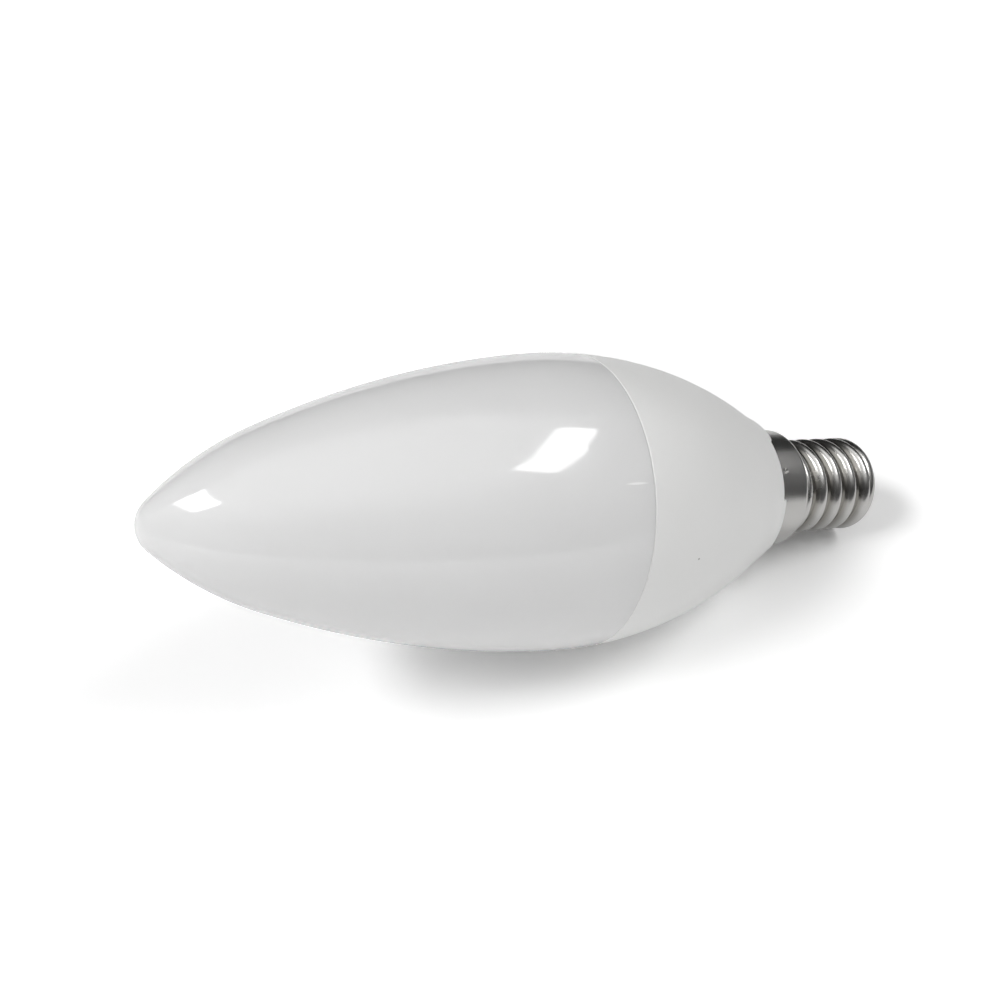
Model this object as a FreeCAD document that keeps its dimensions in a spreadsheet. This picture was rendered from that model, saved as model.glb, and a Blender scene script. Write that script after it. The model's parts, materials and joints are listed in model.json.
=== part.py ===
"""LED candle bulb with an opal diffuser, a moulded housing and a 14 mm Edison screw cap.

Every piece is turned about one axis and drawn in one frame: the origin is the centre of the
seam between diffuser and housing, local +Z runs from the tip to the cap and local +X is the
side that the bulb lies on. At the end the whole bulb is laid down on its belly and its cap.
Lengths are millimetres and angles are degrees.
"""
import FreeCAD, Part
import Sketcher
import math
import os

HORIZONTAL_AXIS, VERTICAL_AXIS = -1, -2
START, END, CENTRE = 1, 2, 3

SIZES = {
    # outline of the diffuser, from the seam to the tip
    "widest_radius": 19.0,
    "widest_offset": 2.6,
    "belly_radius": 57.0,
    "flank_offset": 8.0,
    "ogive_radius": 37.0,
    "nose_angle": 44.5,
    "nose_radius": 3.8,
    "tip_height": 53.7,
    "diffuser_wall": 1.3,
    # joint between the diffuser and the housing
    "mouth_wall": 1.6,
    "spigot_depth": 4.0,
    "spigot_clearance": 0.05,
    "seam_edge_round": 0.15,
    # housing
    "housing_length": 28.0,
    "collar_length": 3.1,
    "collar_round": 24.0,
    "rim_land": 2.3,
    "rim_bevel": 0.7,
    "rim_round": 0.25,
    # sheet metal screw shell
    "sheet": 0.3,
    "skirt_radius": 8.4,
    "skirt_seat": 1.2,
    "skirt_length": 7.1,
    "skirt_clearance": 0.1,
    "shoulder_round": 0.8,
    "shoulder_hollow": 0.4,
    "thread_radius": 6.9,
    "thread_pitch": 2.822,
    "thread_depth": 0.8,
    "thread_length": 14.9,
    "thread_lead_in": 3.1,
    "root_cover": 0.04,
    "end_round": 1.3,
    "end_hole_radius": 4.4,
    # punched marks that stake the skirt to the housing, and the relief of the rim beside each
    "stake_count": 4,
    "stake_angle": 35.0,
    "stake_offset": 1.8,
    "stake_depth": 0.3,
    "stake_mouth": 0.5,
    "stake_floor": 0.2,
    "stake_clearance": 0.05,
    "relief_angle": 50.0,
    "relief_bevel": 1.15,
    # inside the cap
    "neck_clearance": 0.05,
    "neck_gap": 0.4,
    "core_gap": 0.25,
    "flange_thickness": 1.2,
    "flange_margin": 0.5,
    # insulator and contact at the end of the cap
    "insulator_height": 1.9,
    "insulator_top_radius": 2.9,
    "insulator_round": 0.5,
    "contact_radius": 2.4,
    "contact_thickness": 0.8,
    "contact_round": 0.45,
    "shank_radius": 0.8,
    "shank_length": 2.2,
    "shank_clearance": 0.02,
}

doc = FreeCAD.newDocument("candle_bulb")
sheet = doc.addObject("Spreadsheet::Sheet", "sizes")
for row, (name, value) in enumerate(SIZES.items(), start=1):
    sheet.set(f"A{row}", name)
    sheet.set(f"B{row}", str(value))
    sheet.setAlias(f"B{row}", name)
doc.recompute()


class Size:
    """A length or an angle together with the sheet formula that gives it."""

    def __init__(self, value, formula):
        self.value = value
        self.formula = formula

    def __add__(self, other):
        return Size(self.value + other.value, f"({self.formula} + {other.formula})")

    def __sub__(self, other):
        return Size(self.value - other.value, f"({self.formula} - {other.formula})")

    def __mul__(self, factor):
        if isinstance(factor, Size):
            return Size(self.value * factor.value, f"({self.formula} * {factor.formula})")
        return Size(self.value * factor, f"({self.formula} * {factor})")

    def __truediv__(self, other):
        return Size(self.value / other.value, f"({self.formula} / {other.formula})")


def size(name):
    """The named cell of the sheet."""
    return Size(SIZES[name], f"sizes.{name}")


ZERO = Size(0.0, "0")


def number(item):
    """The plain value of a size, or of a start value that the constraints settle."""
    return item.value if isinstance(item, Size) else item


def bind(sketch, kind, places, item):
    """Add a dimension and tie it to its formula; a negative one is measured the other way."""
    formula = item.formula
    if item.value < 0:
        places = places[2:] + places[:2]
        formula = f"-{formula}"
    index = sketch.addConstraint(Sketcher.Constraint(kind, *places, abs(item.value)))
    sketch.setExpression(f"Constraints[{index}]", formula)


def place_point(sketch, geometry, point, x, y):
    """Dimension one point from the origin, or put it on an axis, where a size is given."""
    for kind, axis, item in (("DistanceX", VERTICAL_AXIS, x), ("DistanceY", HORIZONTAL_AXIS, y)):
        if item is ZERO:
            sketch.addConstraint(Sketcher.Constraint("PointOnObject", geometry, point, axis))
        elif isinstance(item, Size):
            bind(sketch, kind, (HORIZONTAL_AXIS, START, geometry, point), item)


def new_sketch(body, name, turn=None):
    """A sketch on the body's own XZ plane: across is the radius, up is the bulb's axis.

    turn is the angle by which the plane is turned about that axis.
    """
    sketch = body.newObject("Sketcher::SketchObject", name)
    plane = next(item for item in body.Origin.OriginFeatures if item.Role == "XZ_Plane")
    sketch.AttachmentSupport = [(plane, "")]
    sketch.MapMode = "FlatFace"
    if turn:
        turned = FreeCAD.Rotation(FreeCAD.Vector(0, 1, 0), turn.value)
        sketch.AttachmentOffset = FreeCAD.Placement(FreeCAD.Vector(0, 0, 0), turned)
        sketch.setExpression("AttachmentOffset.Rotation.Angle", turn.formula)
    return sketch


def draw_outline(sketch, corners, arcs=None, tangent=()):
    """Draw a closed outline through the corners.

    Each corner is (x, y), where a Size is dimensioned and a plain number is only a start
    value. arcs gives the curved sides by the number of their first corner, as (x, y, radius)
    of the circle; tangent lists the corners where two sides meet smoothly.
    """
    arcs = arcs or {}
    points = [FreeCAD.Vector(number(x), number(y), 0) for x, y in corners]
    sides = []
    for i, first in enumerate(points):
        last = points[(i + 1) % len(points)]
        if i not in arcs:
            sides.append((sketch.addGeometry(Part.LineSegment(first, last), False), START, END))
            continue
        x, y, radius = arcs[i]
        centre = FreeCAD.Vector(number(x), number(y), 0)
        start_angle = math.atan2(first.y - centre.y, first.x - centre.x)
        end_angle = math.atan2(last.y - centre.y, last.x - centre.x)
        turn = (end_angle - start_angle + math.pi) % (2 * math.pi) - math.pi
        low, high = (start_angle, end_angle) if turn > 0 else (end_angle, start_angle)
        circle = Part.Circle(centre, FreeCAD.Vector(0, 0, 1), number(radius))
        side = sketch.addGeometry(Part.ArcOfCircle(circle, low, high), False)
        sides.append((side, START, END) if turn > 0 else (side, END, START))
    for i, (x, y) in enumerate(corners):
        before, _, last_point = sides[i - 1]
        after, first_point, _ = sides[i]
        kind = "Tangent" if i in tangent else "Coincident"
        sketch.addConstraint(Sketcher.Constraint(kind, before, last_point, after, first_point))
        place_point(sketch, after, first_point, x, y)
    for i, (x, y, radius) in arcs.items():
        place_point(sketch, sides[i][0], CENTRE, x, y)
        if isinstance(radius, Size):
            bind(sketch, "Radius", (sides[i][0],), radius)
    return [side for side, _, _ in sides]


def turn_outline(body, kind, name, sketch):
    """Turn a sketch through a full circle about the bulb's axis, adding or cutting."""
    feature = body.newObject(f"PartDesign::{kind}", name)
    feature.Profile = sketch
    feature.ReferenceAxis = (sketch, ["V_Axis"])
    feature.Angle = 360
    return feature


def wind_outline(body, kind, name, sketch, pitch, height):
    """Sweep a sketch along a right-hand helix about the bulb's axis, adding or cutting."""
    feature = body.newObject(f"PartDesign::{kind}", name)
    feature.Profile = sketch
    feature.ReferenceAxis = (sketch, ["V_Axis"])
    feature.Mode = "pitch-height-angle"
    feature.setExpression("Pitch", pitch.formula)
    feature.setExpression("Height", height.formula)
    feature.Pitch = pitch.value
    feature.Height = height.value
    feature.LeftHanded = False
    return feature


def ring_edges(feature, radius, height):
    """Names of the round edges of a feature that have this radius at this height."""
    doc.recompute()
    names = []
    for i, edge in enumerate(feature.Shape.Edges, start=1):
        curve = None if edge.Degenerated else edge.Curve
        if isinstance(curve, Part.Circle) and abs(curve.Radius - radius) < 1e-3:
            if abs(curve.Center.z - height) < 1e-3:
                names.append(f"Edge{i}")
    return names


def round_edges(body, name, rings, radius):
    """Round the ring edges given as (radius, height)."""
    base = body.Tip
    edges = [edge for ring in rings for edge in ring_edges(base, *ring)]
    feature = body.newObject("PartDesign::Fillet", name)
    feature.Base = (base, edges)
    feature.setExpression("Radius", radius.formula)
    return feature


def punch(body, kind, name, mouth, floor, reach):
    """Turn a cone about a line across the skirt, adding or cutting, at the first staking mark.

    mouth and floor are the (distance from the bulb's axis, radius) of the cone's two ends, and
    reach is added to both radii.
    """
    sketch = new_sketch(body, f"{name}_section", size("stake_angle"))
    station = rim + size("stake_offset")
    corners = [
        (floor[0], station),
        (mouth[0], station),
        (mouth[0], station + mouth[1] + reach),
        (floor[0], station + floor[1] + reach),
    ]
    draw_outline(sketch, corners)
    ends = [FreeCAD.Vector(item.value, station.value, 0) for item in (floor[0], mouth[0])]
    line = sketch.addGeometry(Part.LineSegment(*ends), True)
    sketch.addConstraint(Sketcher.Constraint("Coincident", line, START, 0, START))
    sketch.addConstraint(Sketcher.Constraint("Coincident", line, END, 0, END))
    feature = body.newObject(f"PartDesign::{kind}", name)
    feature.Profile = sketch
    feature.ReferenceAxis = (sketch, ["Axis0"])
    feature.Angle = 360
    return feature


def repeat_stakes(body, name, features):
    """Repeat features at every staking mark round the bulb's axis."""
    pattern = body.newObject("PartDesign::PolarPattern", name)
    pattern.Originals = features
    pattern.Axis = (features[0].Profile[0], ["V_Axis"])
    pattern.Angle = 360
    pattern.setExpression("Occurrences", "sizes.stake_count")
    body.Tip = pattern
    return pattern


# Places along the axis and radii that several pieces share

belly_centre = (size("widest_radius") - size("belly_radius"), size("widest_offset") * -1)
seam_start = belly_centre[0].value + math.sqrt(
    size("belly_radius").value ** 2 - size("widest_offset").value ** 2
)
mouth_radius = size("widest_radius") - size("mouth_wall")
rim = size("housing_length")
rim_radius = size("skirt_radius") + size("rim_land")
rim_edge = rim - size("rim_bevel")
collar_start = rim_edge - size("collar_length")
skirt_edge = rim - size("skirt_seat")
skirt_inside = size("skirt_radius") - size("sheet")
shoulder = skirt_edge + size("skirt_length")
shell_end = shoulder + size("thread_length")
plate_inside = shell_end - size("sheet")
flange_inside = plate_inside - size("flange_thickness")
thread_start = shoulder - size("thread_lead_in")
half_pitch = size("thread_pitch") * 0.5
quarter_pitch = half_pitch * 0.5
# crest and root are equal arcs that meet half way down the thread
thread_round = size("thread_depth") * 0.25 + quarter_pitch * quarter_pitch / size("thread_depth")
crest_centre = size("thread_radius") - thread_round
thread_root = size("thread_radius") - size("thread_depth")
core_radius = thread_root + size("root_cover")
core_bore = core_radius - size("sheet")
insulator_end = shell_end + size("insulator_height")
contact_end = insulator_end + size("contact_thickness")


def make_diffuser():
    """Opal shell: nose, ogive, flank and belly arcs, and a spigot that enters the housing."""
    body = doc.addObject("PartDesign::Body", "diffuser")
    sketch = new_sketch(body, "diffuser_wall_section")
    tip = size("tip_height") * -1
    wall = size("diffuser_wall")
    spigot = mouth_radius - size("spigot_clearance")
    spigot_end = size("spigot_depth") - size("spigot_clearance")
    belly = FreeCAD.Vector(belly_centre[0].value, belly_centre[1].value, 0)
    belly_radius = size("belly_radius").value
    ogive_radius = size("ogive_radius").value
    nose_radius = size("nose_radius").value
    # start values of the arc centres and of the points where the arcs meet smoothly
    nose = FreeCAD.Vector(0, tip.value + nose_radius, 0)
    nose_angle = math.radians(size("nose_angle").value)
    outward = FreeCAD.Vector(math.cos(nose_angle), -math.sin(nose_angle), 0)
    nose_start = nose + outward * nose_radius
    ogive = nose_start - outward * ogive_radius
    rise = -size("flank_offset").value - belly.y
    flank_start = belly + FreeCAD.Vector(math.sqrt(belly_radius**2 - rise**2), rise, 0)
    # the flank is the circle that touches the belly here and also holds the ogive
    inward = (belly - flank_start).normalize()
    chord = flank_start - ogive
    flank_radius = (ogive_radius**2 - chord.Length**2) / (2 * (inward.dot(chord) + ogive_radius))
    flank = flank_start + inward * flank_radius
    ogive_start = flank + (ogive - flank).normalize() * flank_radius
    joints = [
        (nose_start, nose),
        (ogive_start, ogive),
        (flank_start, belly),
    ]
    inner = [point + (centre - point).normalize() * wall.value for point, centre in joints]
    inner_end = belly.x + math.sqrt((belly_radius - wall.value) ** 2 - (belly.y + wall.value) ** 2)
    corners = [
        (ZERO, tip),
        (ZERO, tip.value + wall.value),
        (inner[0].x, inner[0].y),
        (inner[1].x, inner[1].y),
        (inner[2].x, inner[2].y),
        (inner_end, wall * -1),
        (spigot - wall, wall * -1),
        (spigot - wall, spigot_end),
        (spigot, spigot_end),
        (spigot, ZERO),
        (seam_start, ZERO),
        (flank_start.x, size("flank_offset") * -1),
        (ogive_start.x, ogive_start.y),
        (nose_start.x, nose_start.y),
    ]
    arcs = {
        1: (nose.x, nose.y, nose_radius - wall.value),
        2: (ogive.x, ogive.y, ogive_radius - wall.value),
        3: (flank.x, flank.y, flank_radius - wall.value),
        4: (belly.x, belly.y, size("belly_radius") - wall),
        10: (*belly_centre, size("belly_radius")),
        11: (flank.x, flank.y, flank_radius),
        12: (ogive.x, ogive.y, size("ogive_radius")),
        13: (ZERO, nose.y, size("nose_radius")),
    }
    sides = draw_outline(sketch, corners, arcs, tangent=(2, 3, 4, 11, 12, 13))
    for inside, outside in ((1, 13), (2, 12), (3, 11), (4, 10)):
        centres = (sides[inside], CENTRE, sides[outside], CENTRE)
        sketch.addConstraint(Sketcher.Constraint("Coincident", *centres))
    # the line from the nose's centre to its end sets how far round the nose goes
    spoke = sketch.addGeometry(Part.LineSegment(nose, nose_start), True)
    sketch.addConstraint(Sketcher.Constraint("Coincident", spoke, START, sides[13], CENTRE))
    sketch.addConstraint(Sketcher.Constraint("Coincident", spoke, END, sides[13], END))
    level = (spoke, START, HORIZONTAL_AXIS, START, nose_angle)
    turned = sketch.addConstraint(Sketcher.Constraint("Angle", *level))
    sketch.setExpression(f"Constraints[{turned}]", "sizes.nose_angle")
    turn_outline(body, "Revolution", "diffuser_shell", sketch)
    doc.recompute()
    seam = sketch.Geometry[sides[9]].EndPoint.x
    round_edges(body, "seam_edge", [(seam, 0)], size("seam_edge_round"))
    return body


def make_housing():
    """Moulded housing: mouth groove for the spigot, curved wall, collar, rim, neck and core."""
    body = doc.addObject("PartDesign::Body", "housing")
    sketch = new_sketch(body, "housing_outline")
    deck = mouth_radius - size("diffuser_wall") - size("spigot_clearance") * 2
    neck = skirt_inside - size("neck_clearance")
    neck_end = shoulder - size("sheet") - size("neck_gap")
    core = core_bore - size("core_gap")
    slot = size("skirt_radius") + size("skirt_clearance")
    # start values: the wall's chord gives its last direction, where the collar turns back
    belly = FreeCAD.Vector(belly_centre[0].value, belly_centre[1].value, 0)
    seam = FreeCAD.Vector(seam_start, 0, 0)
    collar_end = rim_radius + size("collar_length") * 0.5
    joint = FreeCAD.Vector(collar_end.value, collar_start.value, 0)
    first = math.atan2(seam.y - belly.y, seam.x - belly.x)
    middle = math.atan2(seam.x - joint.x, joint.y - seam.y)
    last = 2 * middle - first
    wall_radius = (joint - seam).Length / (2 * math.sin(last - middle))
    outward = FreeCAD.Vector(math.cos(last), math.sin(last), 0)
    wall = joint - outward * wall_radius
    collar = joint + outward * size("collar_round").value
    corners = [
        (ZERO, ZERO),
        (ZERO, flange_inside),
        (core, flange_inside),
        (core, neck_end),
        (neck, neck_end),
        (neck, skirt_edge),
        (slot, skirt_edge),
        (slot, rim),
        (rim_radius - size("rim_bevel"), rim),
        (rim_radius, rim_edge),
        (joint.x, collar_start),
        (seam_start, ZERO),
        (mouth_radius, ZERO),
        (mouth_radius, size("spigot_depth")),
        (deck, size("spigot_depth")),
        (deck, ZERO),
    ]
    arcs = {
        9: (collar.x, collar.y, size("collar_round")),
        10: (wall.x, wall.y, wall_radius),
    }
    sides = draw_outline(sketch, corners, arcs, tangent=(10,))
    # the wall continues the belly: its centre lies on the line from the belly's centre to the seam
    spoke = sketch.addGeometry(Part.LineSegment(belly, seam), True)
    place_point(sketch, spoke, START, *belly_centre)
    sketch.addConstraint(Sketcher.Constraint("Coincident", spoke, END, sides[11], START))
    bind(sketch, "Distance", (spoke,), size("belly_radius"))
    sketch.addConstraint(Sketcher.Constraint("PointOnObject", sides[10], CENTRE, spoke))
    turn_outline(body, "Revolution", "housing_blank", sketch)
    doc.recompute()
    mouth = sketch.getPoint(sides[11], START).x
    round_edges(body, "mouth_edge", [(mouth, 0)], size("seam_edge_round"))
    land_radius = rim_radius - size("rim_bevel")
    rings = [(land_radius.value, rim.value), (rim_radius.value, rim_edge.value)]
    round_edges(body, "rim_edges", rings, size("rim_round"))

    depth = size("skirt_radius") - size("stake_depth") - size("sheet")
    pit = punch(
        body, "Groove", "stake_pit",
        (size("skirt_radius"), size("stake_mouth")),
        (depth - size("stake_clearance"), size("stake_floor")),
        size("sheet") + size("stake_clearance"),
    )
    relief = new_sketch(body, "rim_relief_section", size("stake_angle"))
    land = rim_radius - size("relief_bevel")
    beyond = rim_radius + size("rim_bevel")
    corners = [
        (land, rim),
        (beyond, rim_edge - size("relief_bevel")),
        (beyond, rim + size("rim_bevel")),
        (land, rim + size("rim_bevel")),
    ]
    draw_outline(relief, corners)
    cut = turn_outline(body, "Groove", "rim_relief", relief)
    cut.Midplane = True
    cut.setExpression("Angle", "sizes.relief_angle")
    repeat_stakes(body, "stakes", [pit, cut])
    return body, sketch, sides[10]


def thread_section(sketch, offset, base):
    """Section of the rolled thread: a crest arc between two hollow arcs, closed at a base radius.

    offset is the sheet's thickness for the inside of the sheet and nothing for its outside, and
    base is the radius inside the wall, or in the cavity, at which the section is closed.
    """
    crest = thread_round - offset
    hollow = thread_round + offset
    lean = math.asin(quarter_pitch.value / thread_round.value)
    hollow_x = thread_root.value + thread_round.value
    wall = core_radius - offset
    reach = half_pitch.value - math.sqrt(hollow.value**2 - (hollow_x - wall.value) ** 2)
    meet_x = crest_centre.value + crest.value * math.cos(lean)
    meet_y = crest.value * math.sin(lean)
    middle = thread_start.value
    corners = [
        (base, middle - reach),
        (wall, middle - reach),
        (meet_x, middle - meet_y),
        (meet_x, middle + meet_y),
        (wall, middle + reach),
        (base, middle + reach),
    ]
    arcs = {
        1: (hollow_x, thread_start - half_pitch, hollow),
        2: (crest_centre, thread_start, crest),
        3: (hollow_x, thread_start + half_pitch, hollow),
    }
    sides = draw_outline(sketch, corners, arcs, tangent=(2, 3))
    for side in (sides[0], sides[4]):
        sketch.addConstraint(Sketcher.Constraint("Horizontal", side))


def make_screw_shell():
    """Sheet metal cap: smooth skirt, shoulder, rolled right-hand thread and turned-in end."""
    body = doc.addObject("PartDesign::Body", "screw_shell")
    root = core_radius
    bore = core_bore
    bead_x = size("thread_radius") - size("end_round")
    bead_y = shell_end - size("end_round")
    hollow = size("shoulder_hollow")
    edge = size("shoulder_round")

    blank = new_sketch(body, "shell_blank")
    lean = math.asin((root.value - bead_x.value) / size("end_round").value)
    bead_start = bead_y.value - size("end_round").value * math.cos(lean)
    corners = [
        (ZERO, skirt_edge),
        (ZERO, shell_end),
        (bead_x, shell_end),
        (root, bead_start),
        (root, shoulder + hollow),
        (root + hollow, shoulder),
        (size("skirt_radius") - edge, shoulder),
        (size("skirt_radius"), shoulder - edge),
        (size("skirt_radius"), skirt_edge),
    ]
    arcs = {
        2: (bead_x, bead_y, size("end_round").value),
        4: (root + hollow, (shoulder + hollow).value, hollow.value),
        6: (size("skirt_radius") - edge, (shoulder - edge).value, edge.value),
    }
    draw_outline(blank, corners, arcs)
    turn_outline(body, "Revolution", "shell_solid", blank)

    ridge = new_sketch(body, "thread_ridge_section")
    thread_section(ridge, ZERO, root - size("sheet") * 0.5)
    turns_height = shell_end - thread_start + size("thread_pitch")
    wind_outline(body, "AdditiveHelix", "thread_ridge", ridge, size("thread_pitch"), turns_height)

    # the end of the ridge is trimmed to the round of the turned-in end
    trim = new_sketch(body, "end_trim_section")
    outside = size("thread_radius") + size("thread_depth")
    beyond = shell_end + size("thread_pitch") * 2
    corners = [
        (ZERO, shell_end),
        (bead_x, shell_end),
        (size("thread_radius"), bead_y),
        (outside, bead_y),
        (outside, beyond),
        (ZERO, beyond),
    ]
    draw_outline(trim, corners, {1: (bead_x, bead_y.value, size("end_round").value)})
    turn_outline(body, "Groove", "end_trim", trim)

    cavity = new_sketch(body, "shell_cavity")
    inner_round = edge - size("sheet")
    inner_bead = size("end_round") - size("sheet")
    lean = math.asin((bore.value - bead_x.value) / inner_bead.value)
    corners = [
        (ZERO, skirt_edge),
        (skirt_inside, skirt_edge),
        (skirt_inside, shoulder - edge),
        (skirt_inside - inner_round, shoulder - size("sheet")),
        (bore, shoulder - size("sheet")),
        (bore, bead_y.value - inner_bead.value * math.cos(lean)),
        (bead_x, plate_inside),
        (size("end_hole_radius"), plate_inside),
        (size("end_hole_radius"), shell_end),
        (ZERO, shell_end),
    ]
    arcs = {
        2: (size("skirt_radius") - edge, (shoulder - edge).value, inner_round.value),
        5: (bead_x, bead_y, inner_bead.value),
    }
    draw_outline(cavity, corners, arcs)
    turn_outline(body, "Groove", "shell_inside", cavity)

    groove = new_sketch(body, "thread_groove_section")
    thread_section(groove, size("sheet"), bore - size("sheet") * 0.5)
    inside_height = plate_inside - thread_start - half_pitch
    wind_outline(
        body, "SubtractiveHelix", "thread_groove", groove, size("thread_pitch"), inside_height
    )

    # a punched mark: the sheet is pushed in, so it stands out inside as far as it dents outside
    middle = size("skirt_radius") - size("sheet") * 0.5
    floor = size("skirt_radius") - size("stake_depth")
    boss = punch(
        body, "Revolution", "stake_boss",
        (middle, size("stake_mouth")), (floor - size("sheet"), size("stake_floor")), size("sheet"),
    )
    dent = punch(
        body, "Groove", "stake_dent",
        (size("skirt_radius") + size("stake_clearance"), size("stake_mouth")),
        (floor, size("stake_floor")), ZERO,
    )
    repeat_stakes(body, "stakes", [boss, dent])
    return body


def make_insulator():
    """Insulating button held by the turned-in end of the shell."""
    body = doc.addObject("PartDesign::Body", "insulator")
    sketch = new_sketch(body, "insulator_outline")
    hole = size("shank_radius") + size("shank_clearance")
    flange = size("end_hole_radius") + size("flange_margin")
    waist = size("end_hole_radius") - size("shank_clearance")
    corners = [
        (hole, flange_inside),
        (flange, flange_inside),
        (flange, plate_inside),
        (waist, plate_inside),
        (waist, shell_end),
        (size("insulator_top_radius"), insulator_end),
        (hole, insulator_end),
    ]
    draw_outline(sketch, corners)
    turn_outline(body, "Revolution", "insulator_blank", sketch)
    round_edges(
        body, "insulator_edge", [(size("insulator_top_radius").value, insulator_end.value)],
        size("insulator_round"),
    )
    return body


def make_contact():
    """Centre contact: a flat metal button with a shank through the insulator."""
    body = doc.addObject("PartDesign::Body", "centre_contact")
    sketch = new_sketch(body, "contact_outline")
    shank_top = insulator_end - size("shank_length")
    corners = [
        (ZERO, shank_top),
        (size("shank_radius"), shank_top),
        (size("shank_radius"), insulator_end),
        (size("contact_radius"), insulator_end),
        (size("contact_radius"), contact_end),
        (ZERO, contact_end),
    ]
    draw_outline(sketch, corners)
    turn_outline(body, "Revolution", "contact_blank", sketch)
    round_edges(
        body, "contact_edge", [(size("contact_radius").value, contact_end.value)],
        size("contact_round"),
    )
    return body


def lying_tilt(wall):
    """How far the axis leans when the housing wall and the round at the cap's end share a floor.

    wall is the arc of the housing. Both are circles in the plane of the axis, so the floor is
    their common tangent.
    """
    end_x = size("thread_radius").value - size("end_round").value
    end_y = shell_end.value - size("end_round").value
    span_x = end_x - wall.Center.x
    span_y = end_y - wall.Center.y
    reach = math.asin((wall.Radius - size("end_round").value) / math.hypot(span_x, span_y))
    return math.degrees(reach - math.atan2(span_x, span_y))


def lay_down(bodies, tilt, wall):
    """Turn the bulb on to its side, with its cap along +X, and set its wall on the floor z = 0."""
    turn = FreeCAD.Rotation(FreeCAD.Vector(0, 1, 0), 90 + tilt)
    for body in bodies:
        body.Placement = FreeCAD.Placement(FreeCAD.Vector(0, 0, 0), turn)
    doc.recompute()
    boxes = [body.Shape.optimalBoundingBox(False, False) for body in bodies]
    middle = (min(box.XMin for box in boxes) + max(box.XMax for box in boxes)) / 2
    lean = math.radians(tilt)
    centre = -wall.Center.x * math.cos(lean) - wall.Center.y * math.sin(lean)
    lowest = centre - wall.Radius
    for body in bodies:
        body.Placement = FreeCAD.Placement(FreeCAD.Vector(-middle, 0, -lowest), turn)
    doc.recompute()


diffuser = make_diffuser()
housing, housing_sketch, housing_wall = make_housing()
screw_shell = make_screw_shell()
insulator = make_insulator()
centre_contact = make_contact()
pieces = [diffuser, housing, screw_shell, insulator, centre_contact]
doc.recompute()
wall = housing_sketch.Geometry[housing_wall]
lay_down(pieces, lying_tilt(wall), wall)

for item in doc.Objects:
    if "Invalid" in item.State or "Error" in item.State:
        raise RuntimeError(f"{item.Name} failed: {item.getStatusString()}")
for piece in pieces:
    if piece.Shape.isNull() or not piece.Shape.isValid():
        raise RuntimeError(f"{piece.Label} has no valid shape")

os.makedirs("parts", exist_ok=True)
for piece in pieces:
    piece.Shape.exportStep(f"parts/{piece.Label}.step")
    print(piece.Label, "volume", round(piece.Shape.Volume, 1), "mm3")
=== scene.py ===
import bmesh
import bpy
import json
import math
from mathutils import Matrix, Vector

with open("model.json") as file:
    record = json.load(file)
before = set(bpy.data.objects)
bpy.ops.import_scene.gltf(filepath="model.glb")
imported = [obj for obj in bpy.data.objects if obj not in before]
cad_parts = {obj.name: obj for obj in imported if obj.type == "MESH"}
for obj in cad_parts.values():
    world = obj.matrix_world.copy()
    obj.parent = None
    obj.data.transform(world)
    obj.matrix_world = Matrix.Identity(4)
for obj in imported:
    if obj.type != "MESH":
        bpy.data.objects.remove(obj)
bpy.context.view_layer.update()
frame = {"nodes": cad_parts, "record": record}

# Centre contact
# A flat button of tinned brass at the very end of the cap, riveted through the insulator.
# Solder and handling leave it dull, with a slightly uneven face.


def linear_colour(code):
    """The linear colour of a six-digit sRGB hex code."""
    channels = [int(code[i : i + 2], 16) / 255 for i in (0, 2, 4)]
    linear = [c / 12.92 if c <= 0.04045 else ((c + 0.055) / 1.055) ** 2.4 for c in channels]
    return (*linear, 1.0)


def add_node(tree, kind, inputs=None, **settings):
    """Add a node, set its properties, and fill its sockets with values or with links."""
    node = tree.nodes.new("ShaderNode" + kind)
    for name, value in settings.items():
        setattr(node, name, value)
    for name, value in (inputs or {}).items():
        if isinstance(value, bpy.types.NodeSocket):
            tree.links.new(value, node.inputs[name])
        else:
            node.inputs[name].default_value = value
    return node


def new_material(name):
    """An empty node material and its output node."""
    material = bpy.data.materials.new(name)
    material.use_nodes = True
    material.node_tree.nodes.clear()
    return material, material.node_tree, material.node_tree.nodes.new("ShaderNodeOutputMaterial")


def dress(node_name, material):
    """Give a carried-over solid its material in every slot."""
    piece = frame["nodes"][node_name]
    piece.data.materials.clear()
    piece.data.materials.append(material)


def cells(millimetres):
    """The scale of a noise whose cells are that wide."""
    return 1000 / millimetres


# tinned brass, pressed: a warm grey metal, dull in patches where solder has wetted it
tinned_brass, tree, output = new_material("tinned_brass")
place = add_node(tree, "TexCoord").outputs["Object"]
wetting = add_node(tree, "TexNoise", {"Vector": place, "Scale": cells(1.1), "Detail": 3.0})
colour = add_node(
    tree, "MixRGB",
    {"Fac": wetting.outputs["Fac"], "Color1": linear_colour("9c948a"), "Color2": linear_colour("c9c4ba")},
)
dull = add_node(
    tree, "MapRange", {"Value": wetting.outputs["Fac"], "To Min": 0.25, "To Max": 0.5}
)
bump = add_node(
    tree, "Bump", {"Height": wetting.outputs["Fac"], "Strength": 0.15, "Distance": 0.0001}
)
surface = add_node(
    tree, "BsdfPrincipled",
    {
        "Base Color": colour.outputs["Color"],
        "Metallic": 1.0,
        "Roughness": dull.outputs["Result"],
        "Normal": bump.outputs["Normal"],
    },
)
tree.links.new(surface.outputs["BSDF"], output.inputs["Surface"])
dress("centre_contact", tinned_brass)

# Insulator
# The black button that keeps the contact off the shell, moulded of a hard thermoset. Its
# flange is trapped behind the turned-in end of the shell.

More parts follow.
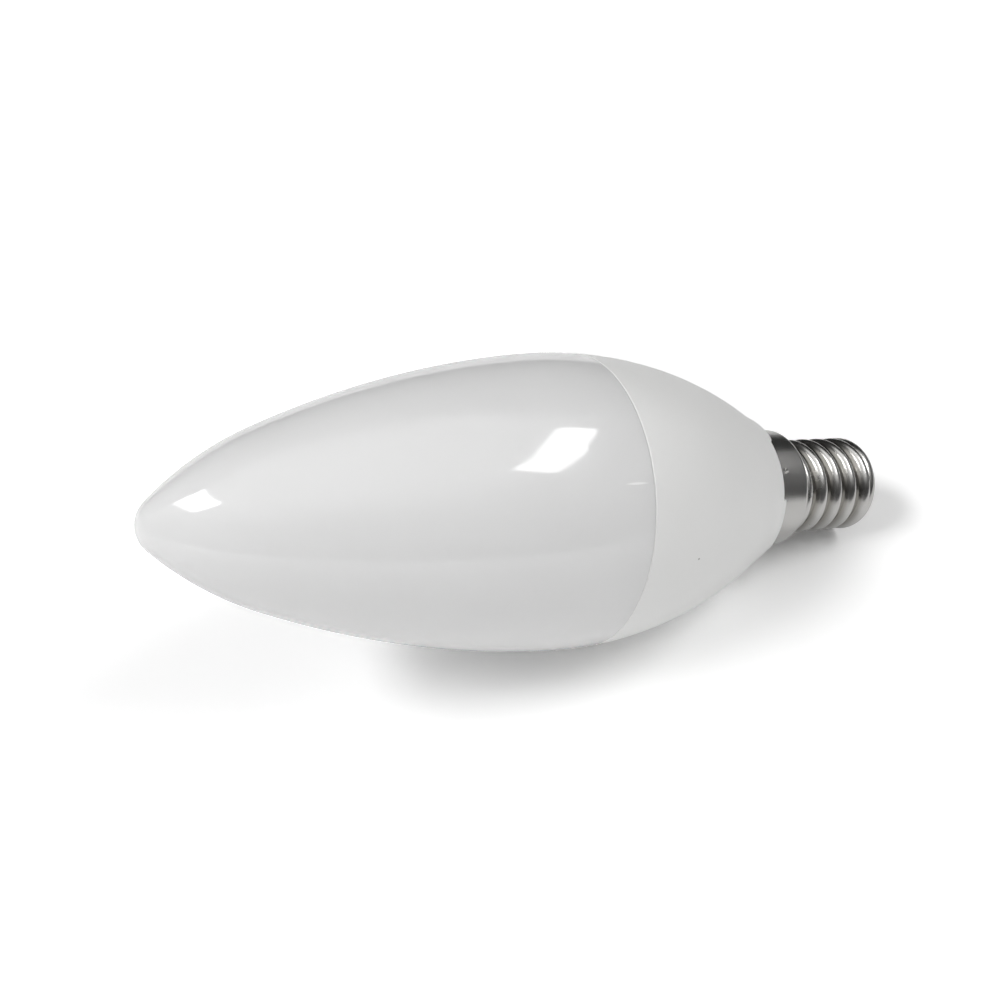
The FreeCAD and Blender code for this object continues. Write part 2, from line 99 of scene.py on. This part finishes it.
# black thermoset, moulded: nearly black, with a glassy gloss that the flow lines break up
black_thermoset, tree, output = new_material("black_thermoset")
place = add_node(tree, "TexCoord").outputs["Object"]
flow = add_node(tree, "TexNoise", {"Vector": place, "Scale": cells(0.67), "Detail": 2.0})
colour = add_node(
    tree, "MixRGB",
    {"Fac": flow.outputs["Fac"], "Color1": linear_colour("141416"), "Color2": linear_colour("26262a")},
)
dull = add_node(tree, "MapRange", {"Value": flow.outputs["Fac"], "To Min": 0.12, "To Max": 0.3})
surface = add_node(
    tree, "BsdfPrincipled",
    {"Base Color": colour.outputs["Color"], "Roughness": dull.outputs["Result"], "IOR": 1.5},
)
tree.links.new(surface.outputs["BSDF"], output.inputs["Surface"])
dress("insulator", black_thermoset)

# Screw shell
# Thin brass sheet drawn to a cup, rolled to the thread and bright nickel plated. Down in the
# thread it is warmer, where the brass shows, and painted darker as shade; rolling leaves fine lines round
# it.

CONTACT_FROM_SEAM = 0.0515
THREAD_ROOT_RADIUS = 0.0061
THREAD_CREST_RADIUS = 0.0068
ROLLING_LINE_WIDTH_MM = 0.2
ROLLING_LINE_LENGTH_MM = 10
contact_face = next(m for m in frame["record"]["mounts"] if m["name"] == "contact_face")
bulb_axis = Vector(contact_face["axis"])
seam_centre = Vector(contact_face["pos_m"]) - bulb_axis * CONTACT_FROM_SEAM
lean = math.atan2(bulb_axis.x, bulb_axis.z)


def bulb_coordinates(tree):
    """Object coordinates turned on to the bulb: its axis is Z, measured from the seam."""
    place = add_node(tree, "TexCoord").outputs["Object"]
    return add_node(
        tree, "Mapping",
        {"Vector": place, "Location": seam_centre, "Rotation": (0, lean, 0)},
        vector_type="TEXTURE",
    ).outputs["Vector"]


# nickel-plated brass sheet, rolled: a bright grey mirror, a little hazy, brownish and painted darker as
# shade in the thread
nickel_plate, tree, output = new_material("nickel_plated_brass_sheet")
along = bulb_coordinates(tree)
split = add_node(tree, "SeparateXYZ", {"Vector": along})
across = add_node(tree, "CombineXYZ", {"X": split.outputs["X"], "Y": split.outputs["Y"]})
radius = add_node(tree, "VectorMath", {0: across.outputs["Vector"]}, operation="LENGTH")
# 0 down at the root of the thread, 1 at its crest and on the skirt
height = add_node(
    tree, "MapRange",
    {
        "Value": radius.outputs["Value"],
        "From Min": THREAD_ROOT_RADIUS,
        "From Max": THREAD_CREST_RADIUS,
    },
)
# the root of the thread is brownish for the brass and painted darker as shade in the hollow
plate_and_root_shade = add_node(
    tree, "MixRGB",
    {
        "Fac": height.outputs["Result"],
        "Color1": linear_colour("85827c"),
        "Color2": linear_colour("bdbcba"),
    },
)
haze = add_node(tree, "TexNoise", {"Vector": along, "Scale": cells(3.85), "Detail": 4.0})
colour = add_node(
    tree, "MixRGB",
    {"Fac": 0.12, "Color1": plate_and_root_shade.outputs["Color"], "Color2": haze.outputs["Fac"]},
    blend_type="OVERLAY",
)
dull = add_node(tree, "MapRange", {"Value": haze.outputs["Fac"], "To Min": 0.18, "To Max": 0.32})
# the rolling lines run round the cap
squeeze = ROLLING_LINE_WIDTH_MM / ROLLING_LINE_LENGTH_MM
stretch = add_node(tree, "Mapping", {"Vector": along, "Scale": (squeeze, squeeze, 1.0)})
lines = add_node(
    tree, "TexNoise",
    {"Vector": stretch.outputs["Vector"], "Scale": cells(ROLLING_LINE_WIDTH_MM), "Detail": 2.0},
)
bump = add_node(
    tree, "Bump", {"Height": lines.outputs["Fac"], "Strength": 0.12, "Distance": 0.00005}
)
surface = add_node(
    tree, "BsdfPrincipled",
    {
        "Base Color": colour.outputs["Color"],
        "Metallic": 1.0,
        "Roughness": dull.outputs["Result"],
        "Normal": bump.outputs["Normal"],
    },
)
tree.links.new(surface.outputs["BSDF"], output.inputs["Surface"])
dress("screw_shell", nickel_plate)

# Housing
# Injection-moulded white polyester (PBT) that encloses the driver. It holds the diffuser in a
# groove and the cap on its neck, and has a speck of dirt on its side.

DIRT_PLACE = (-0.00439, -0.0175, 0.00769)
DIRT_HALF_SIZE = (0.00017, 0.00017, 0.00017)


def mark(tree, along, centre, half_size):
    """1 at a point of the bulb, falling to 0 at the ellipsoid of the half sizes about it."""
    offset = add_node(tree, "VectorMath", {0: along, 1: centre}, operation="SUBTRACT")
    scaled = add_node(tree, "VectorMath", {0: offset.outputs["Vector"], 1: half_size}, operation="DIVIDE")
    distance = add_node(tree, "VectorMath", {0: scaled.outputs["Vector"]}, operation="LENGTH")
    inside = add_node(
        tree, "MapRange", {"Value": distance.outputs["Value"], "From Min": 1.0, "From Max": 0.4}
    )
    return inside.outputs["Result"]


# white PBT, moulded: a satin white, a little warmer than the diffuser, with the mould's grain
white_pbt, tree, output = new_material("moulded_white_pbt")
along = bulb_coordinates(tree)
cloud = add_node(tree, "TexNoise", {"Vector": along, "Scale": cells(11), "Detail": 3.0})
colour = add_node(
    tree, "MixRGB",
    {"Fac": cloud.outputs["Fac"], "Color1": linear_colour("ececeb"), "Color2": linear_colour("f0f0ef")},
)
dirt = mark(tree, along, DIRT_PLACE, DIRT_HALF_SIZE)
colour = add_node(
    tree, "MixRGB",
    {"Fac": dirt, "Color1": colour.outputs["Color"], "Color2": linear_colour("8f8c87")},
)
# the real grain is finer: it is drawn 0.25 mm wide so that it shows
grain = add_node(tree, "TexNoise", {"Vector": along, "Scale": cells(0.25), "Detail": 2.0})
bump = add_node(
    tree, "Bump", {"Height": grain.outputs["Fac"], "Strength": 0.06, "Distance": 0.00005}
)
surface = add_node(
    tree, "BsdfPrincipled",
    {
        "Base Color": colour.outputs["Color"],
        "Roughness": 0.42,
        "IOR": 1.5,
        "Normal": bump.outputs["Normal"],
    },
)
tree.links.new(surface.outputs["BSDF"], output.inputs["Surface"])
dress("housing", white_pbt)

# Diffuser
# The shell over the light, blow-moulded of opal polycarbonate and pressed into the groove of
# the housing. A short scratch ends just before the seam.

SCRATCH_PLACE = (-0.01332, -0.01351, -0.00242)
SCRATCH_HALF_SIZE = (0.00018, 0.00018, 0.0017)

# opal polycarbonate, blow-moulded: light spreads in it, so it is evenly pale, with a sharp gloss
opal_polycarbonate, tree, output = new_material("opal_polycarbonate")
along = bulb_coordinates(tree)
milk = add_node(tree, "TexNoise", {"Vector": along, "Scale": cells(16.7), "Detail": 3.0})
colour = add_node(
    tree, "MixRGB",
    {"Fac": milk.outputs["Fac"], "Color1": linear_colour("e3e3e3"), "Color2": linear_colour("e8e8e8")},
)
scratch = mark(tree, along, SCRATCH_PLACE, SCRATCH_HALF_SIZE)
colour = add_node(
    tree, "MixRGB",
    {"Fac": scratch, "Color1": colour.outputs["Color"], "Color2": (1.0, 1.0, 1.0, 1.0)},
)
dull = add_node(tree, "MapRange", {"Value": milk.outputs["Fac"], "To Min": 0.05, "To Max": 0.1})
surface = add_node(
    tree, "BsdfPrincipled",
    {
        "Base Color": colour.outputs["Color"],
        "Roughness": dull.outputs["Result"],
        "IOR": 1.58,
        "Specular IOR Level": 0.4,
        "Subsurface Weight": 0.3,
        "Subsurface Radius": (0.002, 0.002, 0.002),
        "Subsurface Scale": 1.0,
    },
)
tree.links.new(surface.outputs["BSDF"], output.inputs["Surface"])
dress("diffuser", opal_polycarbonate)

# Floor
# A seamless sweep of matt white paper that the bulb lies on and that takes its shadow. It is
# brighter for the camera than as a light on the bulb, and in the bulb's gloss it is in between.

SWEEP_WIDTH = 4.0
WHITE_FROM = 0.12
WHOLLY_WHITE_FROM = 0.5


def seen_weight(tree, gloss):
    """1 for what the camera sees, also through glass, gloss for what is mirrored, 0 for light."""
    path = add_node(tree, "LightPath").outputs
    direct = add_node(
        tree, "Math", {0: path["Is Camera Ray"], 1: path["Is Transmission Ray"]}, operation="MAXIMUM"
    )
    mirrored = add_node(tree, "Math", {0: path["Is Glossy Ray"], 1: gloss}, operation="MULTIPLY")
    either = add_node(
        tree, "Math", {0: direct.outputs["Value"], 1: mirrored.outputs["Value"]}, operation="MAXIMUM"
    )
    return either.outputs["Value"]


bpy.ops.mesh.primitive_plane_add(size=SWEEP_WIDTH, location=(0, 0, 0))
floor = bpy.context.object
floor.name = "floor"
white_sweep, tree, output = new_material("white_paper_sweep")
seen = seen_weight(tree, 0.4)
# away from the shadow the sweep goes over to plain white of its own
place = add_node(tree, "TexCoord").outputs["Object"]
distance = add_node(tree, "VectorMath", {0: place}, operation="LENGTH")
far = add_node(
    tree, "MapRange",
    {"Value": distance.outputs["Value"], "From Min": WHITE_FROM, "From Max": WHOLLY_WHITE_FROM},
)
lift = add_node(tree, "Math", {0: seen, 1: far.outputs["Result"]}, operation="MULTIPLY")
white = add_node(tree, "MapRange", {"Value": seen, "To Min": 0.85, "To Max": 1.3})
paper = add_node(tree, "BsdfDiffuse", {"Color": white.outputs["Result"]})
glow = add_node(tree, "Emission", {"Color": (1, 1, 1, 1), "Strength": lift.outputs["Value"]})
both = add_node(tree, "AddShader", {0: paper.outputs["BSDF"], 1: glow.outputs["Emission"]})
tree.links.new(both.outputs["Shader"], output.inputs["Surface"])
floor.data.materials.append(white_sweep)

# Studio light
# A wide panel overhead, and a soft box on each side of the bulb that shows as a bright window
# in its gloss. Four fills light the sides and the front and leave no mark in the gloss.


def soft_box(name, aim, direction, along, width, depth, distance, power):
    """A rectangular lamp that faces the aim point from a direction."""
    lamp = bpy.data.lights.new(name, "AREA")
    lamp.shape = "RECTANGLE"
    lamp.size = width
    lamp.size_y = depth
    lamp.energy = power
    z = Vector(direction).normalized()
    x = (Vector(along) - z * Vector(along).dot(z)).normalized()
    turn = Matrix((x, z.cross(x), z)).transposed().to_4x4()
    holder = bpy.data.objects.new(name, lamp)
    holder.matrix_world = Matrix.Translation(Vector(aim) + z * distance) @ turn
    bpy.context.scene.collection.objects.link(holder)
    return holder


soft_box(
    "right_soft_box", aim=(-0.005, -0.010, 0.0375), direction=(0.529, -0.207, 0.782),
    along=(0.33, 0.94, 0.0), width=0.40, depth=0.116, distance=0.7, power=1.25,
)
soft_box(
    "left_soft_box", aim=(-0.044, -0.003, 0.038), direction=(-0.608, 0.093, 0.746),
    along=(0.06, 1.0, 0.0), width=0.35, depth=0.14, distance=0.7, power=1.9,
)
soft_box(
    "overhead_panel", aim=(0.0, 0.0, 0.0), direction=(0.2, -0.1, 1.0),
    along=(1.0, 0.0, 0.0), width=1.4, depth=1.4, distance=1.35, power=2.2,
)
for name, direction, power in (
    ("left_fill", (-0.9, 0.0, 0.9), 3.2),
    ("right_fill", (1.0, 0.05, 0.6), 0.8),
    ("front_fill", (0.6, -0.6, 0.6), 0.6),
    ("low_fill", (-0.8, -1.0, 0.35), 3.2),
):
    fill = soft_box(
        name, aim=(0.0, 0.0, 0.015), direction=direction,
        along=(0.0, 1.0, 0.0), width=0.5, depth=0.5, distance=1.2, power=power,
    )
    fill.visible_glossy = False

# Cards
# Polished metal is only as dark as what it mirrors. Matt grey cards stand all round the set,
# out of the picture, and are met by reflections alone: they don't shade the bulb.


def card(name, radius, start, end, foot, top, white_above, code):
    """A matt card bent round the set from one direction to another, in degrees.

    Above the height white_above it goes over to white, so that its top leaves no edge in the gloss.
    """
    mesh = bpy.data.meshes.new(name)
    bm = bmesh.new()
    x = radius * math.cos(math.radians(start))
    y = radius * math.sin(math.radians(start))
    upright = bm.edges.new((bm.verts.new((x, y, foot)), bm.verts.new((x, y, top))))
    # a flat face for every ten degrees of the bend
    bend = end - start
    bmesh.ops.spin(
        bm, geom=[upright, *upright.verts], cent=(0, 0, 0), axis=(0, 0, 1),
        angle=math.radians(bend), steps=bend // 10, use_merge=bend == 360,
    )
    bm.to_mesh(mesh)
    bm.free()
    board = bpy.data.objects.new(name, mesh)
    material, tree, output = new_material(name + "_board")
    place = add_node(tree, "SeparateXYZ", {"Vector": add_node(tree, "TexCoord").outputs["Object"]})
    whiter = add_node(
        tree, "MapRange", {"Value": place.outputs["Z"], "From Min": white_above, "From Max": top},
        interpolation_type="SMOOTHSTEP",
    )
    paint = add_node(tree, "BsdfDiffuse", {"Color": linear_colour(code)})
    glow = add_node(tree, "Emission", {"Color": (1, 1, 1, 1), "Strength": 1.0})
    faded = add_node(
        tree, "MixShader",
        {0: whiter.outputs["Result"], 1: paint.outputs["BSDF"], 2: glow.outputs["Emission"]},
    )
    tree.links.new(faded.outputs["Shader"], output.inputs["Surface"])
    mesh.materials.append(material)
    board.visible_camera = False
    board.visible_diffuse = False
    board.visible_shadow = False
    bpy.context.scene.collection.objects.link(board)


card("surround", 1.6, start=-180, end=180, foot=0.0, top=2.4, white_above=0.7, code="6c6c6c")
card("back_card", 1.2, start=20, end=150, foot=0.0, top=2.2, white_above=1.5, code="383838")
card("grey_card", 0.9, start=-60, end=20, foot=0.2, top=0.62, white_above=0.5, code="8a8a8a")

# Room
# White walls and ceiling, for the camera and for what the bulb mirrors. As a light the room
# gives little, so that the shadow stays.

world = bpy.data.worlds.new("studio")
bpy.context.scene.world = world
world.use_nodes = True
tree = world.node_tree
tree.nodes.clear()
level = add_node(tree, "MapRange", {"Value": seen_weight(tree, 1.0), "To Min": 0.1, "To Max": 1.0})
room = add_node(tree, "Background", {"Color": (1, 1, 1, 1), "Strength": level.outputs["Result"]})
output = tree.nodes.new("ShaderNodeOutputWorld")
tree.links.new(room.outputs["Background"], output.inputs["Surface"])

# Camera
# Close to the bulb and looking down on it from its tip end, as the photograph was taken.

camera_data = bpy.data.cameras.new("camera")
camera_data.sensor_width = 36.0
camera_data.lens = 36.093
camera_data.shift_x = -0.0081
camera_data.shift_y = -0.0031
camera_data.clip_start = 0.01
camera_data.clip_end = 20.0
camera = bpy.data.objects.new("camera", camera_data)
camera.location = (-0.0442345, -0.0853258, 0.1082401)
camera.rotation_euler = (math.radians(47.5357), 0.0, math.radians(-23.0602))
bpy.context.scene.collection.objects.link(camera)
bpy.context.scene.camera = camera
bpy.context.scene.view_settings.view_transform = "Standard"
